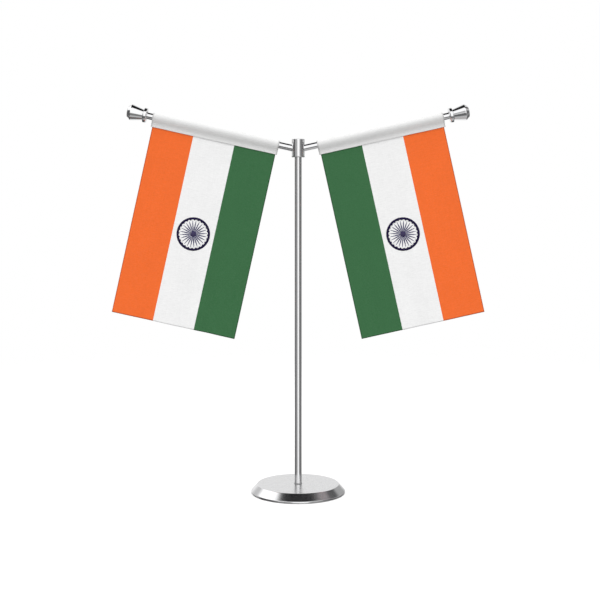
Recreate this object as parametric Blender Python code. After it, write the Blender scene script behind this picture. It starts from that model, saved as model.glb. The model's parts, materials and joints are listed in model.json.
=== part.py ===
"""Desk flag stand: two small flags on a V-shaped crosshead, on a pole with a round weighted base.

World frame: origin at the centre of the base's underside, +X to the viewer's right, +Z up, and
the front faces -Y. Lengths are in metres. The pole stands on +Z. Each arm rises outwards from the
junction, a point on the pole's axis inside the hub, and its pieces are drawn in the arm's own
frame: +Z out along the arm and +Y to the back, with distances counted from the junction.
"""
import math

import bmesh
import bpy
from mathutils import Vector

MM = 0.001
GAP = 0.3 * MM                  # kept between solids that touch on the real object

# Base: a spun steel cover over a cast weight, with a soft pad under both.
BASE_RADIUS = 38.0 * MM
BASE_HEIGHT = 7.0 * MM
BASE_TOP_RADIUS = 33.1 * MM
RIM_HEIGHT = 1.6 * MM           # where the cover's slope meets its upright rim
COVER_WALL = 0.7 * MM
COVER_LIFT = 0.3 * MM           # the cover's rim clears the table by this much
PAD_THICKNESS = 1.0 * MM
COUNTERBORE_RADIUS = 5.2 * MM
COUNTERBORE_TOP = 4.7 * MM
BASE_SIDES = 64

# The bolt that holds the pole, from below.
BOLT_RADIUS = 1.7 * MM
BOLT_HEAD_RADIUS = 3.8 * MM
BOLT_HEAD_HEIGHT = 2.2 * MM
BOLT_TIP = 18.2 * MM
BOLT_SLOT_WIDTH = 1.0 * MM
BOLT_SLOT_DEPTH = 1.0 * MM
WASHER_RADIUS = 4.6 * MM
WASHER_THICKNESS = 0.6 * MM
BOLT_HOLE_RADIUS = BOLT_RADIUS + GAP

# Pole and the thin nylon washer under its foot.
POLE_RADIUS = 2.95 * MM
FOOT_WASHER_RADIUS = 3.3 * MM
FOOT_WASHER_THICKNESS = 0.4 * MM
POLE_THREAD_DEPTH = 11.0 * MM
POLE_EDGE = 0.25 * MM
POLE_SIDES = 32

# Hub on top of the pole.
JUNCTION_HEIGHT = 277.7 * MM    # where the two arms' axes meet the pole's axis
ARM_RISE = math.radians(12.55)
HUB_RADIUS = 5.2 * MM
HUB_BOTTOM = 271.2 * MM
HUB_TOP = 285.9 * MM
HUB_TOP_EDGE = 0.25 * MM
HUB_LIP_RADIUS = 5.45 * MM       # a small rounded bead around the hub's lower end
HUB_LIP_HEIGHT = 0.8 * MM
HUB_LIP_EDGE = 0.3 * MM
HUB_BORE_DEPTH = 3.5 * MM
SET_SCREW_RADIUS = 1.0 * MM
SET_SCREW_HEIGHT = HUB_BOTTOM + 2.15 * MM
SET_SCREW_SINK = 0.25 * MM      # how far the set screw's end lies below the hub's skin
SET_SCREW_SOCKET_RADIUS = 0.55 * MM
SET_SCREW_SOCKET_DEPTH = 0.8 * MM
HUB_SIDES = 40

# Arms and finials, as distances along the arm from the junction.
ARM_RADIUS = 2.75 * MM
SOCKET_START = 1.2 * MM
ARM_END = 126.0 * MM
STUD_RADIUS = 1.5 * MM
STUD_START = 119.0 * MM
STUD_END = 134.2 * MM
COLLAR_START = 124.3 * MM
FLANGE_START = 124.7 * MM
FLANGE_END = 127.3 * MM
COLLAR_BOSS_RADIUS = 3.6 * MM
FLANGE_RADIUS = 6.0 * MM
KNOB_START = FLANGE_END + GAP
KNOB_NECK_RADIUS = 4.3 * MM
KNOB_RADIUS = 6.5 * MM
KNOB_RIM_START = 137.2 * MM
KNOB_RIM_END = 137.7 * MM
KNOB_FACE_START = 139.7 * MM
KNOB_FACE_RADIUS = 4.9 * MM
KNOB_END = 141.1 * MM
ARM_SIDES = 24
KNOB_SIDES = 32

# Flags: a white sleeve around the arm, with the flag's cloth sewn into its lower edge.
SLEEVE_START = 15.8 * MM
SLEEVE_END = 119.7 * MM
SLEEVE_RADIUS = 3.4 * MM
SLEEVE_DROP = 8.0 * MM          # from the arm's axis down to the sleeve's lower edge
SLEEVE_HEM_THICKNESS = 1.4 * MM
FLAG_START = 17.0 * MM
FLAG_WIDTH = 101.6 * MM
FLAG_LENGTH = 152.4 * MM
FLAG_THICKNESS = 1.2 * MM

COLOURS = {                     # linear colour, roughness, metallic
    "satin_steel": ((0.62, 0.62, 0.63), 0.32, 1.0),
    "polished_steel": ((0.72, 0.72, 0.73), 0.12, 1.0),
    "zinc_steel": ((0.55, 0.55, 0.52), 0.40, 1.0),
    "black_steel": ((0.05, 0.05, 0.05), 0.45, 1.0),
    "cast_iron": ((0.06, 0.06, 0.065), 0.75, 0.8),
    "foam_pad": ((0.02, 0.02, 0.02), 0.95, 0.0),
    "nylon": ((0.03, 0.03, 0.03), 0.50, 0.0),
    "white_cloth": ((0.86, 0.86, 0.86), 0.80, 0.0),
    "flag_cloth": ((0.87, 0.88, 0.87), 0.80, 0.0),
}


def clear_scene():
    for thing in list(bpy.data.objects):
        bpy.data.objects.remove(thing, do_unlink=True)


def material(name):
    """The named Principled material, made on first use."""
    found = bpy.data.materials.get(name)
    if found:
        return found
    colour, roughness, metallic = COLOURS[name]
    made = bpy.data.materials.new(name)
    made.use_nodes = True
    shader = made.node_tree.nodes["Principled BSDF"]
    shader.inputs["Base Color"].default_value = (*colour, 1.0)
    shader.inputs["Roughness"].default_value = roughness
    shader.inputs["Metallic"].default_value = metallic
    return made


def frame_at(name, location, turn_y=0.0, parent=None):
    """An empty on a joint's axis, turned about +Y."""
    empty = bpy.data.objects.new(name, None)
    empty.empty_display_size = 10 * MM
    empty.location = location
    empty.rotation_euler = (0.0, turn_y, 0.0)
    empty.parent = parent
    bpy.context.scene.collection.objects.link(empty)
    return empty


def finish_mesh(name, bm, finish, parent=None, location=(0.0, 0.0, 0.0)):
    """Closes up a bmesh, faces it outwards, and links it as the object called name."""
    bmesh.ops.remove_doubles(bm, verts=bm.verts, dist=0.001 * MM)
    bmesh.ops.recalc_face_normals(bm, faces=bm.faces)
    mesh = bpy.data.meshes.new(name)
    bm.to_mesh(mesh)
    bm.free()
    mesh.shade_smooth()
    mesh.set_sharp_from_angle(angle=math.radians(30))
    made = bpy.data.objects.new(name, mesh)
    if finish:
        mesh.materials.append(material(finish))
    made.parent = parent
    made.location = location
    bpy.context.scene.collection.objects.link(made)
    return made


def rounded(corners, steps=2):
    """A profile of (radius, height) points from corners (radius, height, fillet)."""
    points = []
    for i, (r, z, fillet) in enumerate(corners):
        here = Vector((r, z))
        if not fillet:
            points.append(here)
            continue
        before = (Vector(corners[i - 1][:2]) - here).normalized()
        after = (Vector(corners[(i + 1) % len(corners)][:2]) - here).normalized()
        half = before.angle(after) / 2
        centre = here + (before + after).normalized() * fillet / math.sin(half)
        start = (here + before * fillet / math.tan(half) - centre).normalized()
        end = (here + after * fillet / math.tan(half) - centre).normalized()
        for k in range(steps + 1):
            points.append(centre + start.slerp(end, k / steps) * fillet)
    return points


def turned(name, corners, sides, finish, parent=None, location=(0.0, 0.0, 0.0), steps=2):
    """A solid turned about local +Z. A profile that starts off the axis is closed into a ring."""
    profile = rounded(corners, steps)
    bm = bmesh.new()
    verts = [bm.verts.new((p.x, 0.0, p.y)) for p in profile]
    edges = [bm.edges.new(pair) for pair in zip(verts, verts[1:])]
    if corners[0][0] > 0:
        edges.append(bm.edges.new((verts[-1], verts[0])))
    bmesh.ops.spin(
        bm,
        geom=verts + edges,
        cent=(0.0, 0.0, 0.0),
        axis=(0.0, 0.0, 1.0),
        angle=math.tau,
        steps=sides,
        use_merge=True,
    )
    return finish_mesh(name, bm, finish, parent, location)


def box(name, size, centre, finish, parent=None):
    """A box of the given size about centre, in its parent's frame."""
    bm = bmesh.new()
    bmesh.ops.create_cube(bm, size=1.0)
    bmesh.ops.scale(bm, vec=size, verts=bm.verts)
    return finish_mesh(name, bm, finish, parent, centre)


def cut(target, cutter):
    """Takes cutter out of target, and keeps cutter as a wire guide that isn't part of the stand."""
    cutter.hide_render = True
    cutter.display_type = "WIRE"
    boolean = target.modifiers.new("cut_" + cutter.name, "BOOLEAN")
    boolean.operation = "DIFFERENCE"
    boolean.solver = "EXACT"
    boolean.object = cutter


def rod(name, radius, start, end, sides, finish, parent=None, location=(0.0, 0.0, 0.0), edge=0.0):
    """A plain round bar between two heights on local +Z, with its edges rounded."""
    corners = [(0.0, start, 0.0), (radius, start, edge), (radius, end, edge), (0.0, end, 0.0)]
    return turned(name, corners, sides, finish, parent, location)


def slope_radius(height, inset):
    """The slope's radius at a height, on a surface that lies inset below the cover's skin."""
    rise, run = BASE_HEIGHT - RIM_HEIGHT, BASE_RADIUS - BASE_TOP_RADIUS
    return BASE_RADIUS - ((height - RIM_HEIGHT) * run + inset * math.hypot(rise, run)) / rise


def slope_height(radius, inset):
    """The slope's height at a radius, on a surface that lies inset below the cover's skin."""
    rise, run = BASE_HEIGHT - RIM_HEIGHT, BASE_RADIUS - BASE_TOP_RADIUS
    return RIM_HEIGHT + ((BASE_RADIUS - radius) * rise - inset * math.hypot(rise, run)) / run


def make_base():
    """Cover, weight, pad, washer and bolt."""
    inner_radius = BASE_RADIUS - COVER_WALL
    ceiling = BASE_HEIGHT - COVER_WALL
    turned(
        "base_cover",
        [
            (BOLT_HOLE_RADIUS, BASE_HEIGHT, 0.0),
            (BASE_TOP_RADIUS, BASE_HEIGHT, 0.5 * MM),
            (BASE_RADIUS, RIM_HEIGHT, 0.5 * MM),
            (BASE_RADIUS, COVER_LIFT, 0.2 * MM),
            (inner_radius, COVER_LIFT, 0.2 * MM),
            (inner_radius, slope_height(inner_radius, COVER_WALL), 0.0),
            (slope_radius(ceiling, COVER_WALL), ceiling, 0.0),
            (BOLT_HOLE_RADIUS, ceiling, 0.0),
        ],
        BASE_SIDES,
        "satin_steel",
    )
    weight_top = ceiling - GAP
    weight_bottom = PAD_THICKNESS + GAP
    weight_inset = COVER_WALL + GAP
    turned(
        "base_weight",
        [
            (BOLT_HOLE_RADIUS, weight_top, 0.0),
            (slope_radius(weight_top, weight_inset), weight_top, 0.0),
            (slope_radius(weight_bottom, weight_inset), weight_bottom, 0.0),
            (COUNTERBORE_RADIUS, weight_bottom, 0.0),
            (COUNTERBORE_RADIUS, COUNTERBORE_TOP, 0.0),
            (BOLT_HOLE_RADIUS, COUNTERBORE_TOP, 0.0),
        ],
        BASE_SIDES,
        "cast_iron",
    )
    rod("base_pad", inner_radius - GAP, 0.0, PAD_THICKNESS, BASE_SIDES, "foam_pad")
    washer_top = COUNTERBORE_TOP - GAP
    washer_bottom = washer_top - WASHER_THICKNESS
    turned(
        "base_washer",
        [
            (BOLT_HOLE_RADIUS, washer_top, 0.0),
            (WASHER_RADIUS, washer_top, 0.1 * MM),
            (WASHER_RADIUS, washer_bottom, 0.0),
            (BOLT_HOLE_RADIUS, washer_bottom, 0.0),
        ],
        32,
        "zinc_steel",
    )
    head_top = washer_bottom - GAP
    head_bottom = head_top - BOLT_HEAD_HEIGHT
    bolt = turned(
        "base_bolt",
        [
            (0.0, head_bottom, 0.0),
            (BOLT_HEAD_RADIUS, head_bottom, 0.5 * MM),
            (BOLT_HEAD_RADIUS, head_top, 0.0),
            (BOLT_RADIUS, head_top, 0.0),
            (BOLT_RADIUS, BOLT_TIP, 0.4 * MM),
            (0.0, BOLT_TIP, 0.0),
        ],
        32,
        "zinc_steel",
    )
    slot_size = (3 * BOLT_HEAD_RADIUS, BOLT_SLOT_WIDTH, 2 * BOLT_SLOT_DEPTH)
    cut(bolt, box("bolt_slot_guide", slot_size, (0.0, 0.0, head_bottom), None))


def make_pole():
    """The pole, tapped at its foot for the bolt, and the thin washer that it stands on."""
    washer_bottom = BASE_HEIGHT + GAP
    washer_top = washer_bottom + FOOT_WASHER_THICKNESS
    turned(
        "foot_washer",
        [
            (BOLT_HOLE_RADIUS, washer_top, 0.0),
            (FOOT_WASHER_RADIUS, washer_top, 0.0),
            (FOOT_WASHER_RADIUS, washer_bottom, 0.0),
            (BOLT_HOLE_RADIUS, washer_bottom, 0.0),
        ],
        POLE_SIDES,
        "nylon",
    )
    foot = washer_top + GAP
    top = HUB_BOTTOM + HUB_BORE_DEPTH - GAP
    turned(
        "pole",
        [
            (0.0, top, 0.0),
            (POLE_RADIUS, top, POLE_EDGE),
            (POLE_RADIUS, foot, POLE_EDGE),
            (BOLT_HOLE_RADIUS, foot, 0.0),
            (BOLT_HOLE_RADIUS, foot + POLE_THREAD_DEPTH, 0.0),
            (0.0, foot + POLE_THREAD_DEPTH, 0.0),
        ],
        POLE_SIDES,
        "satin_steel",
    )


def make_hub(crosshead, arm_frames):
    """The hub, with a bore for the pole, a socket for each arm, and a set screw at the back."""
    bottom = HUB_BOTTOM - JUNCTION_HEIGHT
    top = HUB_TOP - JUNCTION_HEIGHT
    hub = turned(
        "hub",
        [
            (0.0, bottom, 0.0),
            (HUB_LIP_RADIUS, bottom, HUB_LIP_EDGE),
            (HUB_LIP_RADIUS, bottom + HUB_LIP_HEIGHT, HUB_LIP_EDGE),
            (HUB_RADIUS, bottom + HUB_LIP_HEIGHT, 0.0),
            (HUB_RADIUS, top, HUB_TOP_EDGE),
            (0.0, top, 0.0),
        ],
        HUB_SIDES,
        "satin_steel",
        crosshead,
    )
    bore_top = bottom + HUB_BORE_DEPTH
    bore_start = bottom - 2 * MM
    pole_bore = rod(
        "pole_bore_guide", POLE_RADIUS + GAP, bore_start, bore_top, POLE_SIDES, None, crosshead
    )
    cut(hub, pole_bore)
    for side, arm_frame in arm_frames.items():
        socket = rod(
            side + "_socket_guide",
            ARM_RADIUS + GAP,
            SOCKET_START,
            2 * HUB_RADIUS,
            ARM_SIDES,
            None,
            arm_frame,
        )
        cut(hub, socket)
    screw_start = POLE_RADIUS + GAP
    screw_end = HUB_RADIUS - SET_SCREW_SINK
    screw_height = SET_SCREW_HEIGHT - JUNCTION_HEIGHT
    screw_place = (0.0, 0.0, screw_height)
    hole = rod(
        "set_screw_hole_guide",
        SET_SCREW_RADIUS + GAP,
        POLE_RADIUS - 0.5 * MM,
        2 * HUB_RADIUS,
        16,
        None,
        crosshead,
        screw_place,
    )
    screw = rod(
        "hub_set_screw",
        SET_SCREW_RADIUS,
        screw_start,
        screw_end,
        16,
        "black_steel",
        crosshead,
        screw_place,
        0.1 * MM,
    )
    socket = rod(
        "hex_socket_guide",
        SET_SCREW_SOCKET_RADIUS,
        screw_end - SET_SCREW_SOCKET_DEPTH,
        screw_end + 1 * MM,
        6,
        None,
        crosshead,
        screw_place,
    )
    for piece in (hole, screw, socket):
        piece.rotation_euler = (-math.pi / 2, 0.0, 0.0)     # local +Z to the back, +Y
    cut(hub, hole)
    cut(screw, socket)


def make_arm(side, arm_frame):
    """The bar, pressed into the hub and tapped at its outer end for the finial's stud."""
    turned(
        side + "_arm",
        [
            (0.0, SOCKET_START + GAP, 0.0),
            (ARM_RADIUS, SOCKET_START + GAP, 0.2 * MM),
            (ARM_RADIUS, ARM_END, 0.2 * MM),
            (STUD_RADIUS + GAP, ARM_END, 0.0),
            (STUD_RADIUS + GAP, STUD_START - GAP, 0.0),
            (0.0, STUD_START - GAP, 0.0),
        ],
        ARM_SIDES,
        "polished_steel",
        arm_frame,
    )


def make_finial(side, arm_frame):
    """Stud, flanged collar and conical knob. The arm's end stands in the collar's counterbore."""
    rod(
        side + "_finial_stud",
        STUD_RADIUS,
        STUD_START,
        STUD_END,
        16,
        "zinc_steel",
        arm_frame,
        edge=0.3 * MM,
    )
    turned(
        side + "_finial_collar",
        [
            (STUD_RADIUS + GAP, FLANGE_END, 0.0),
            (STUD_RADIUS + GAP, ARM_END + GAP, 0.0),
            (ARM_RADIUS + GAP, ARM_END + GAP, 0.0),
            (ARM_RADIUS + GAP, COLLAR_START, 0.0),
            (COLLAR_BOSS_RADIUS, COLLAR_START, 0.0),
            (COLLAR_BOSS_RADIUS, FLANGE_START, 0.25 * MM),
            (FLANGE_RADIUS, FLANGE_START, 0.6 * MM),
            (FLANGE_RADIUS, FLANGE_END, 0.3 * MM),
        ],
        KNOB_SIDES,
        "polished_steel",
        arm_frame,
    )
    bore = STUD_RADIUS + GAP
    corners = [
        (0.0, STUD_END + GAP, 0.0),
        (bore, STUD_END + GAP, 0.0),
        (bore, KNOB_START, 0.0),
        (KNOB_NECK_RADIUS, KNOB_START, 0.3 * MM),
        (KNOB_RADIUS, KNOB_RIM_START, 0.0),
        (KNOB_RADIUS, KNOB_RIM_END, 0.3 * MM),
        (KNOB_FACE_RADIUS, KNOB_FACE_START, 0.4 * MM),
    ]
    dome_steps = 4
    for k in range(1, dome_steps + 1):
        angle = k / dome_steps * math.pi / 2
        height = KNOB_FACE_START + (KNOB_END - KNOB_FACE_START) * math.sin(angle)
        radius = KNOB_FACE_RADIUS * math.cos(angle) if k < dome_steps else 0.0
        corners.append((radius, height, 0.0))
    turned(side + "_finial_knob", corners, KNOB_SIDES, "polished_steel", arm_frame)


def sleeve_outline(arc_steps=14, slope_steps=3):
    """The sleeve's drop-shaped section, as (drop, depth) points: an arc and its two tangents."""
    hem = SLEEVE_HEM_THICKNESS / 2
    reach = math.hypot(SLEEVE_DROP, hem)
    tangent = math.atan2(hem, SLEEVE_DROP) + math.acos(SLEEVE_RADIUS / reach)
    touch = SLEEVE_RADIUS * Vector((math.cos(tangent), math.sin(tangent)))
    corner = Vector((SLEEVE_DROP, hem))
    slope = [corner.lerp(touch, k / slope_steps) for k in range(slope_steps)]
    sweep = 2 * (math.pi - tangent)
    arc = []
    for k in range(arc_steps + 1):
        angle = tangent + sweep * k / arc_steps
        arc.append(SLEEVE_RADIUS * Vector((math.cos(angle), math.sin(angle))))
    far_slope = [Vector((p.x, -p.y)) for p in reversed(slope)]
    return slope + arc + far_slope


def make_flag(side, arm_frame, down):
    """The sleeve, which hangs loose on the arm, and the cloth. down is local X's sign downwards."""
    bm = bmesh.new()
    outline = sleeve_outline()
    rings = []
    for height in (SLEEVE_START, SLEEVE_END):
        outer = [bm.verts.new((down * p.x, p.y, height)) for p in outline]
        inner = []
        for p in outline:
            q = p.normalized() * (ARM_RADIUS + GAP)
            inner.append(bm.verts.new((down * q.x, q.y, height)))
        rings.append((outer, inner))
    (outer_a, inner_a), (outer_b, inner_b) = rings
    count = len(outline)
    for near, far in ((outer_a, outer_b), (inner_a, inner_b), (outer_a, inner_a), (outer_b, inner_b)):
        for i in range(count):
            j = (i + 1) % count
            bm.faces.new((near[i], near[j], far[j], far[i]))
    finish_mesh(side + "_flag_sleeve", bm, "white_cloth", arm_frame)
    top = SLEEVE_DROP + GAP
    centre = (down * (top + FLAG_LENGTH / 2), 0.0, FLAG_START + FLAG_WIDTH / 2)
    size = (FLAG_LENGTH, FLAG_THICKNESS, FLAG_WIDTH)
    box(side + "_flag_cloth", size, centre, "flag_cloth", arm_frame)


def main():
    clear_scene()
    make_base()
    make_pole()
    crosshead = frame_at("crosshead_axis", (0.0, 0.0, JUNCTION_HEIGHT))
    tilt = math.pi / 2 - ARM_RISE
    arm_frames = {
        "left": frame_at("left_arm_axis", (0.0, 0.0, 0.0), -tilt, crosshead),
        "right": frame_at("right_arm_axis", (0.0, 0.0, 0.0), tilt, crosshead),
    }
    make_hub(crosshead, arm_frames)
    for side, arm_frame in arm_frames.items():
        make_arm(side, arm_frame)
        make_finial(side, arm_frame)
        make_flag(side, arm_frame, 1.0 if side == "right" else -1.0)


main()
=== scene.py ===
"""Looks of the desk flag stand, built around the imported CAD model.

Everything is in metres in the CAD frame: the base stands on z = 0, +X is to the viewer's right and
the front faces -Y. Metal pieces are turned finely on the CAD's own dimensions. Each flag is a
simulated cloth with its wheel printed on both sides, sewn into a folded sleeve on the arm.
"""

import json
import math

import bmesh
import bpy
from mathutils import Matrix, Vector, noise


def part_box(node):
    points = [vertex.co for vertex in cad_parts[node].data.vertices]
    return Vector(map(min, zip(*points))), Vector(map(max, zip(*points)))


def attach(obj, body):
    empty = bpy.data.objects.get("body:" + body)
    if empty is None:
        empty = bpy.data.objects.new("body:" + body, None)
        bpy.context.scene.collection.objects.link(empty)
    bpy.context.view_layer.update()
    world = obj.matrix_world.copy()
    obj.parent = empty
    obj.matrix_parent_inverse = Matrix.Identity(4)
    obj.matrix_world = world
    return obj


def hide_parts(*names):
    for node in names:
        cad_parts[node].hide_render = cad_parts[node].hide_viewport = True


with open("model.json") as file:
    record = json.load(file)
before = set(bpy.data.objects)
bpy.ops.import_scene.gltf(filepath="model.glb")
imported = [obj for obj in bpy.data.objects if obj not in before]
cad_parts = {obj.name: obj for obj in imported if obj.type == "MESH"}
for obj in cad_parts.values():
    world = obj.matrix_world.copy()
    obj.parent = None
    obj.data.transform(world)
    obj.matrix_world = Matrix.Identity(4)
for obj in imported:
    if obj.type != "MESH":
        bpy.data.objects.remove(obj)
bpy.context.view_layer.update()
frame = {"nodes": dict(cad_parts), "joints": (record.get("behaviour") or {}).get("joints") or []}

MM = 0.001
SIDES = ("left", "right")

# Camera: fitted to the photograph's viewpoint.
CAMERA_PLACE = (0.0, -0.8776, 0.2235)
CAMERA_PITCH = math.radians(1.5)
CAMERA_LENS = 65.22
CAMERA_SHIFT = (0.0031, -0.0915)

# The base's cover and the fillets of the turned pieces.
COVER_WALL = 0.7 * MM
COVER_TOP_RADIUS = 33.1 * MM
COVER_RIM_HEIGHT = 1.6 * MM
COVER_FILLET = 0.5 * MM
COVER_RIM_EDGE = 0.2 * MM
COVER_TOP_BAND = 0.06 * MM              # faces this close to the top's level are satin
BOLT_HOLE_RADIUS = 2.0 * MM
FOOT_RING_LIFT = 0.14 * MM              # the ring's top and underside, from the CAD washer's underside
FOOT_RING_SINK = 0.28 * MM
FOOT_RING_STAND = 0.25 * MM             # how far the ring stands out from the pole
FOOT_RING_EDGE = 0.08 * MM
POLE_SEAT_GAP = 0.02 * MM
POLE_FOOT_EDGE = 0.15 * MM
POLE_TOP_EDGE = 0.25 * MM
HUB_TOP_EDGE = 0.25 * MM
HUB_LIP_HEIGHT = 0.8 * MM
HUB_LIP_STAND = 0.25 * MM               # how far the lip stands out from the barrel
HUB_LIP_LOWER_EDGE = 0.7 * MM
HUB_LIP_UPPER_EDGE = 0.06 * MM
HUB_BORE_CLEARANCE = 0.12 * MM
HUB_BORE_HEADROOM = 0.2 * MM            # between the pole's top and the end of the hub's bore
HUB_LEVELS = 24
SOCKET_CLEARANCE = 0.04 * MM
COLLAR_FLANGE = 0.4 * MM                # from the collar's inner end to its flange
COLLAR_BOSS_RADIUS = 3.6 * MM
STUD_BORE = 1.8 * MM
STUD_BORE_DEPTH = 7 * MM
FINIAL_GAP = 0.3 * MM                   # arm's end to collar, and stud to its bore's end
COLLAR_SEAT_CLEARANCE = 0.1 * MM
KNOB_NECK_RADIUS = 4.3 * MM
KNOB_RIM_START = 9.6 * MM               # distances from the knob's inner end
KNOB_RIM_END = 10.1 * MM
KNOB_FACE_START = 12.1 * MM
KNOB_FACE_RADIUS = 4.9 * MM
THREAD_PITCH = 0.5 * MM
THREAD_DEPTH = 0.28 * MM
THREAD_END_DROP = 0.25 * MM             # how much thinner the screw is at its two ends
SCREW_SOCKET = 0.55 * MM                # half the set screw's hexagon socket, across flats
SCREW_SOCKET_DEPTH = 0.8 * MM
SCREW_CHAMFER = 0.12 * MM

# Cloth. Drops are measured down from the arm's axis.
CLOTH_THICKNESS = 0.3 * MM
SLEEVE_THICKNESS = 0.3 * MM
FLAG_TUCK = 6.6 * MM                    # the flag's top edge, inside the sleeve's hem
SLEEVE_COLUMNS = 72
CLOTH_COLUMNS = 48                      # a multiple of three, one third for each stripe
CLOTH_ROWS = 72
CLOTH_FINER = 2
SETTLE_FRAMES = 24
WAVE_HEIGHT = 1.1 * MM
STITCH_PITCH = 2.3 * MM
STITCH_LENGTH = 1.8 * MM
STITCH_RADIUS = 0.13 * MM
SEAM_DROP = 7.35 * MM
PUCKER_START = 3.0 * MM                 # the drop where the sleeve's puckers begin, and their fade-in
PUCKER_DEPTH_MM = 0.1                   # greatest depth of a pucker and of the hem's sag, in mm
SAG_DEPTH_MM = 0.12
WHEEL_RADIUS = 13.57 * MM
WHEEL_SPOKES = 24
WHEEL_LIFT = 0.05 * MM
WHEEL_RING_INNER = 0.863                # shares of the wheel's radius
WHEEL_CORE = 0.165
PRINT_THICKNESS = 0.06 * MM
WHEEL_DROP = 0.48 * MM                  # how far the wheel is printed below the cloth's middle
WEAVE_PITCH = 0.42 * MM

# The floor's rings, and the distances over which it fades out, in metres.
FLOOR_RADII = (0.05, 0.1, 0.2, 0.4, 0.7, 1.0)
FLOOR_FADE = (0.25, 0.9)

# Each spoke's width at some distances from the centre, as shares of the wheel's radius.
SPOKE_OUTLINE = [
    Vector(p)
    for p in (
        (0.14, 0.030),
        (0.20, 0.036),
        (0.25, 0.044),
        (0.30, 0.053),
        (0.36, 0.060),
        (0.42, 0.060),
        (0.48, 0.056),
        (0.54, 0.051),
        (0.60, 0.045),
        (0.66, 0.037),
        (0.72, 0.027),
        (0.78, 0.015),
        (0.83, 0.003),
    )
]

# The sleeve's outer half, from its lower edge over the arm: (half depth, drop).
SLEEVE_OUTLINE = [
    Vector(p) * MM
    for p in (
        (0.92, 8.0),
        (0.84, 7.2),
        (0.98, 5.7),
        (1.58, 4.2),
        (2.58, 2.6),
        (3.25, 1.0),
        (3.38, -0.3),
        (3.05, -1.5),
        (2.30, -2.5),
        (1.20, -3.18),
        (0.0, -3.4),
    )
]

ORANGE = (0.905, 0.162, 0.034)
WHITE = (0.897, 0.897, 0.897)
GREEN = (0.047, 0.152, 0.062)
NAVY = (0.013, 0.009, 0.045)
SPOKE_BLUE = (0.012, 0.009, 0.10)
CORE_PURPLE = (0.055, 0.046, 0.108)
SLEEVE_WHITE = (0.735, 0.735, 0.732)
THREAD_WHITE = (0.72, 0.72, 0.71)


def blend_four(points, t):
    """Catmull-Rom between the middle two of four points."""
    a, b, c, d = points
    square = (2 * a - 5 * b + 4 * c - d) * t * t
    cube = (3 * b - a - 3 * c + d) * t ** 3
    return 0.5 * (2 * b + (c - a) * t + square + cube)


def smooth_curve(points, steps):
    """Points on a Catmull-Rom curve through the given ones."""
    ends = [2 * points[0] - points[1], *points, 2 * points[-1] - points[-2]]
    found = []
    for four in zip(ends, ends[1:], ends[2:], ends[3:]):
        found += [blend_four(four, k / steps) for k in range(steps)]
    return [*found, points[-1]]


# ---------------------------------------------------------------------------------------------
# Where things are
# ---------------------------------------------------------------------------------------------

JOINTS = {joint["name"]: joint for joint in frame["joints"]}


def arm_axis(side):
    """The junction, and the direction out along an arm."""
    joint = JOINTS[side + "_flag_swing"]
    return Vector(joint["pos_m"]), Vector(joint["axis"]).normalized()


def arm_frame(side):
    """The turned pieces' frame: +Z out along the arm, +Y to the back."""
    origin, along = arm_axis(side)
    back = Vector((0.0, 1.0, 0.0))
    across = back.cross(along)
    return Matrix.Translation(origin) @ Matrix((across, back, along)).transposed().to_4x4()


def flag_frame(side):
    """The cloth's frame: +X to the right along the arm, +Y to the back, and +Z up, square to the arm."""
    origin, along = arm_axis(side)
    back = Vector((0.0, 1.0, 0.0))
    right = along if along.x > 0 else -along
    return Matrix.Translation(origin) @ Matrix((right, back, right.cross(back))).transposed().to_4x4()


def span(node, side):
    """A CAD node's start and end along an arm, and its largest radius about the arm's axis."""
    origin, along = arm_axis(side)
    offsets = [v.co - origin for v in frame["nodes"][node].data.vertices]
    heights = [p.dot(along) for p in offsets]
    radii = [(p - along * h).length for p, h in zip(offsets, heights)]
    return min(heights), max(heights), max(radii)


# ---------------------------------------------------------------------------------------------
# Materials
# ---------------------------------------------------------------------------------------------

class Tree:
    """Short ways to add and join the nodes of one shader tree."""

    def __init__(self, tree):
        self.tree = tree

    def node(self, kind, inputs=None, **settings):
        made = self.tree.nodes.new(kind)
        for key, value in settings.items():
            setattr(made, key, value)
        for key, value in (inputs or {}).items():
            self.put(made.inputs[key], value)
        return made

    def put(self, socket, value):
        """Links a socket to an output, or sets its value."""
        if isinstance(value, bpy.types.NodeSocket):
            self.tree.links.new(value, socket)
        else:
            socket.default_value = value

    def math(self, operation, *values):
        return self.node("ShaderNodeMath", dict(enumerate(values)), operation=operation).outputs[0]

    def spread(self, value, low, high, start=0.0, end=1.0, smooth=False):
        """value from start..end taken to low..high."""
        kind = "SMOOTHSTEP" if smooth else "LINEAR"
        inputs = {0: value, 1: start, 2: end, 3: low, 4: high}
        return self.node("ShaderNodeMapRange", inputs, interpolation_type=kind).outputs[0]

    def noise(self, where, stretch, detail=3.0, roughness=0.5):
        """Noise over coordinates that are stretched by three factors first."""
        placed = self.node("ShaderNodeMapping", {"Vector": where, "Scale": stretch}).outputs[0]
        inputs = {"Vector": placed, "Scale": 1.0, "Detail": detail, "Roughness": roughness}
        return self.node("ShaderNodeTexNoise", inputs).outputs[0]

    def mix(self, share, a, b):
        inputs = {0: share, 6: a, 7: b}
        return self.node("ShaderNodeMix", inputs, data_type="RGBA").outputs[2]

    def scaled(self, colour, factor):
        """A colour, darkened or lightened by a factor."""
        inputs = {0: colour[:3], "Scale": factor}
        return self.node("ShaderNodeVectorMath", inputs, operation="SCALE").outputs[0]

    def bump(self, height, distance):
        inputs = {"Height": height, "Distance": distance, "Strength": 1.0}
        return self.node("ShaderNodeBump", inputs).outputs[0]


def new_material(name):
    """A material, its tree, its Principled shader and its object coordinates."""
    made = bpy.data.materials.new(name)
    made.use_nodes = True
    tree = Tree(made.node_tree)
    shader = made.node_tree.nodes["Principled BSDF"]
    where = tree.node("ShaderNodeTexCoord").outputs["Object"]
    return made, tree, shader, where


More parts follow.
